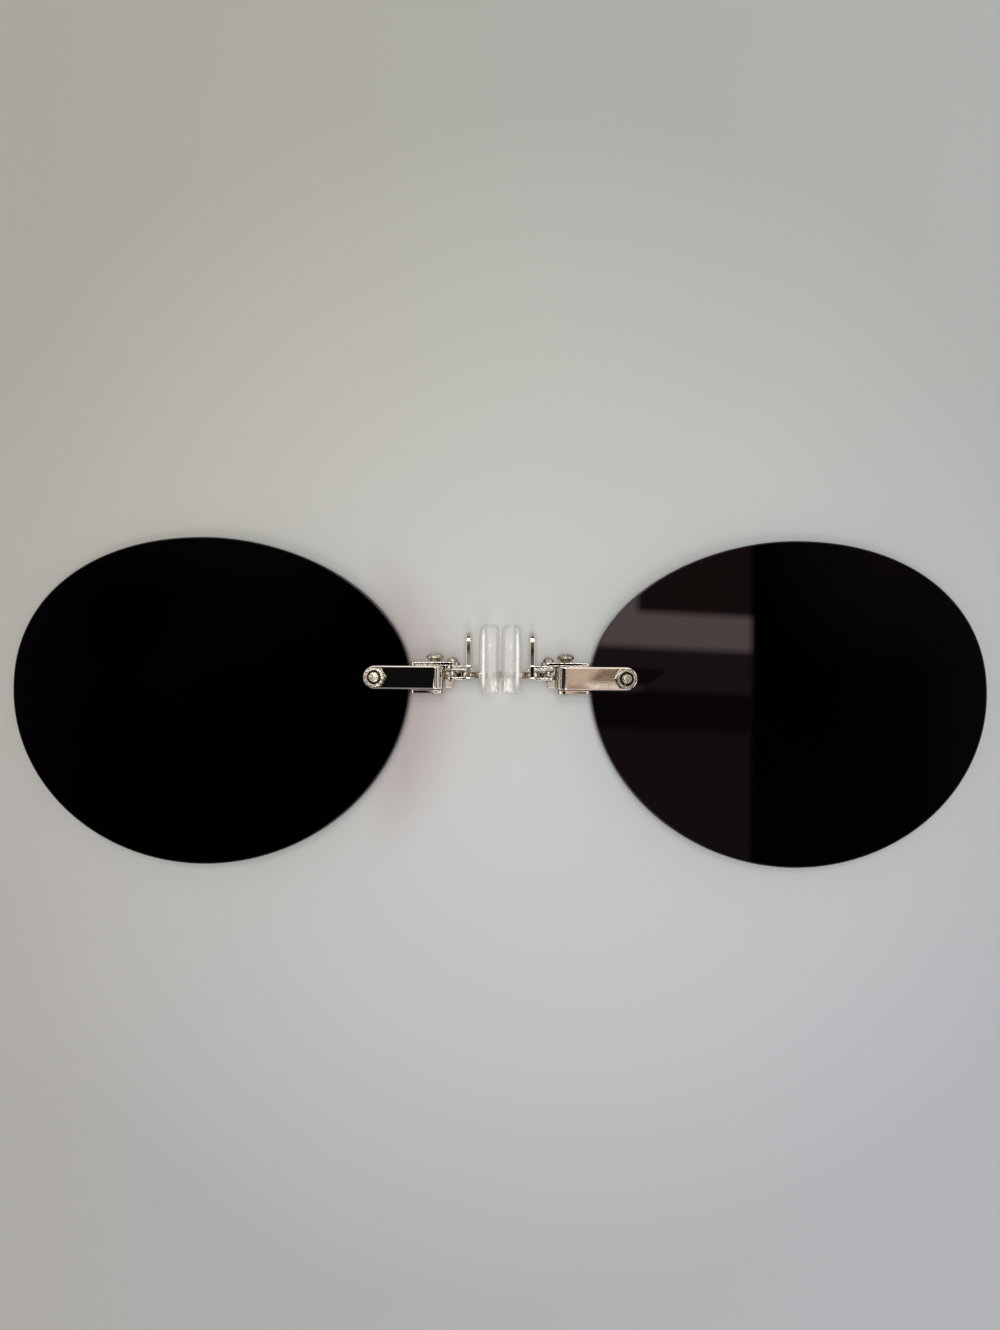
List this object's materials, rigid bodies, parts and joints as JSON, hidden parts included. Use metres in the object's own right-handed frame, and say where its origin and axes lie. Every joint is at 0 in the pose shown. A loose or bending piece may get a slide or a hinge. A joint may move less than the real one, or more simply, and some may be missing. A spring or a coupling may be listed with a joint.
{
  "type": "pince-nez",
  "caption": "Rimless pince-nez with dark oval lenses: a metal bridge carries sprung finger levers with clear nose pads, and the lens mounts fold on slotted screws.",
  "frame": {"origin": "on the table under the middle of the object's box, with the glasses lying on their front as pictured", "axes": "+X runs across the lenses to the wearer's right, +Y is the wearer's up and +Z points to the wearer, away from the table"},
  "size_m": [0.1282, 0.0428, 0.0128],
  "materials": {
    "dark_lens": "polished, near-black tint",
    "nickel": "polished nickel plate",
    "spring_steel": "drawn wire",
    "clear_nylon": "clear, smooth",
    "clear_silicone": "clear, soft, smooth"
  },
  "bodies": {
    "bridge_unit": {"bridge": "nickel", "right_hinge_screw": "nickel", "right_pivot_pin": "nickel", "right_spring": "spring_steel", "left_hinge_screw": "nickel", "left_pivot_pin": "nickel", "left_spring": "spring_steel"},
    "right_lens_unit": {"right_lens": "dark_lens", "right_lens_mount": "nickel", "right_lens_screw": "nickel", "right_lens_nut": "nickel", "right_lens_bush": "clear_nylon", "right_back_washer": "clear_nylon", "right_front_washer": "clear_nylon"},
    "right_lever_unit": {"right_lever": "nickel", "right_guard_arm": "nickel", "right_arm_rivet": "nickel", "right_guard_plate": "nickel", "right_guard_rivet": "nickel", "right_pad": "clear_silicone"},
    "left_lens_unit": {"left_lens": "dark_lens", "left_lens_mount": "nickel", "left_lens_screw": "nickel", "left_lens_nut": "nickel", "left_lens_bush": "clear_nylon", "left_back_washer": "clear_nylon", "left_front_washer": "clear_nylon"},
    "left_lever_unit": {"left_lever": "nickel", "left_guard_arm": "nickel", "left_arm_rivet": "nickel", "left_guard_plate": "nickel", "left_guard_rivet": "nickel", "left_pad": "clear_silicone"}
  },
  "joints": [
    {"name": "right_lever_open", "type": "hinge", "parent": "bridge_unit", "child": "right_lever_unit", "pos_m": [0.00625, 0.0032, 0.0049], "axis": [0, 1, 0], "range_deg": [0, 38], "stiffness_Nm_per_rad": 0.003, "springref_deg": -68.75, "deforming": ["right_spring"]},
    {"name": "right_lens_fold", "type": "hinge", "parent": "bridge_unit", "child": "right_lens_unit", "pos_m": [0.0085, 0.0032, 0.0049], "axis": [0, -1, 0], "range_deg": [0, 70]},
    {"name": "left_lever_open", "type": "hinge", "parent": "bridge_unit", "child": "left_lever_unit", "pos_m": [-0.00625, 0.0032, 0.0049], "axis": [0, -1, 0], "range_deg": [0, 38], "stiffness_Nm_per_rad": 0.003, "springref_deg": -68.75, "deforming": ["left_spring"]},
    {"name": "left_lens_fold", "type": "hinge", "parent": "bridge_unit", "child": "left_lens_unit", "pos_m": [-0.0085, 0.0032, 0.0049], "axis": [0, 1, 0], "range_deg": [0, 70]}
  ]
}
